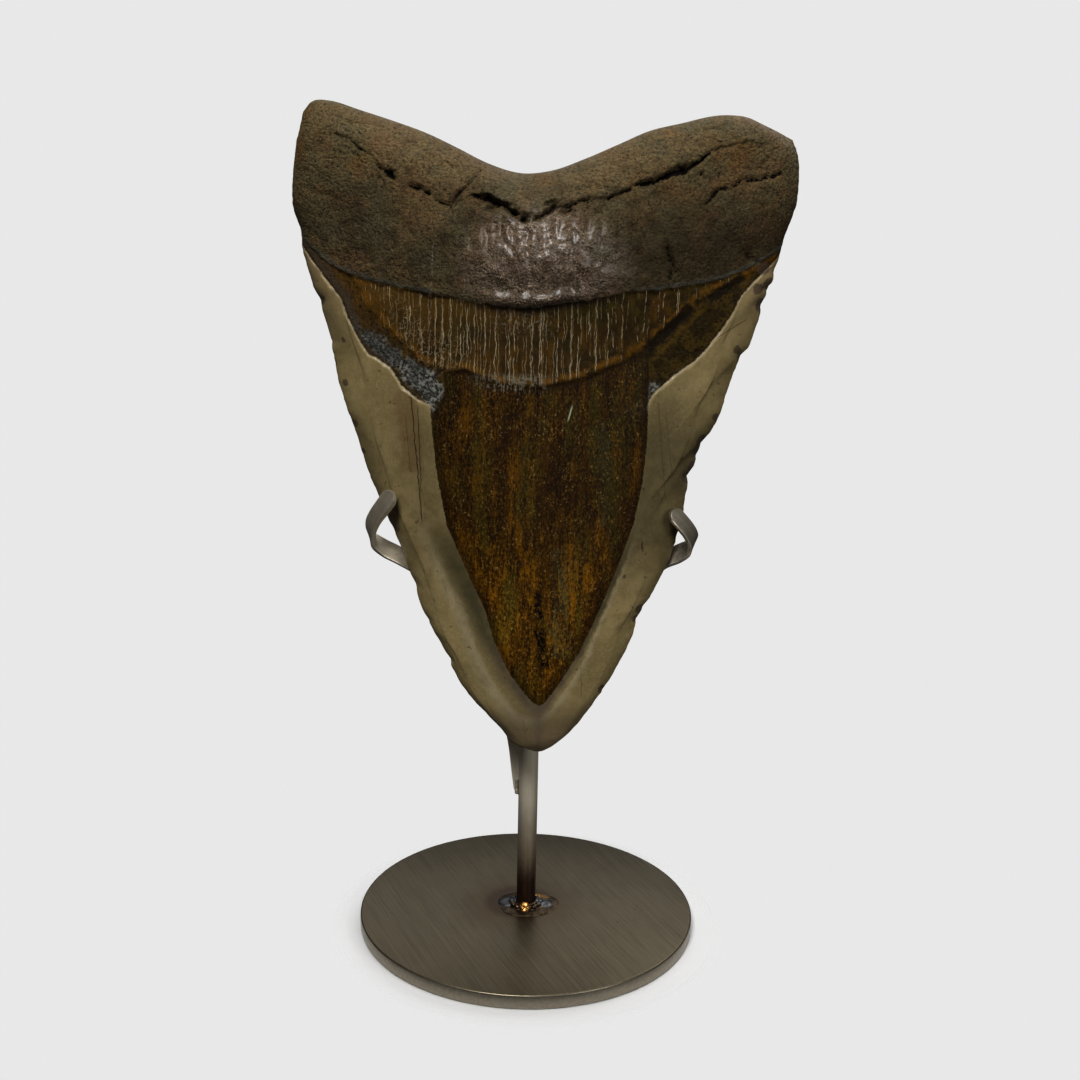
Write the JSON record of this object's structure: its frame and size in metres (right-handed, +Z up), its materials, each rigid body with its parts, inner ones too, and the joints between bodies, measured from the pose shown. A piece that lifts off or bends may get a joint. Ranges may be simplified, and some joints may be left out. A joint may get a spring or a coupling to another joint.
{
  "type": "megalodon tooth",
  "caption": "Fossil megalodon tooth, root up, with worn enamel and exposed dentine, held by hooked steel strips on a post with a round base.",
  "frame": {"origin": "middle of the underside of the base disc", "axes": "+Z up along the post, -Y towards the convex inner face of the tooth that is shown, +X to the viewer's right"},
  "size_m": [0.1015, 0.0762, 0.1794],
  "materials": {
    "fossil": "polished crown, rough root",
    "base_plate": "brushed",
    "rod": "satin, heat tinted at the foot",
    "left_strip": "satin",
    "right_strip": "satin",
    "weld_metal": "weld bead with heat tint"
  },
  "bodies": {
    "root": {"tooth": "fossil", "base_disc": "base_plate", "post": "rod", "left_arm": "left_strip", "right_arm": "right_strip", "foot_weld": "weld_metal", "left_weld": "weld_metal", "right_weld": "weld_metal"}
  },
  "joints": []
}
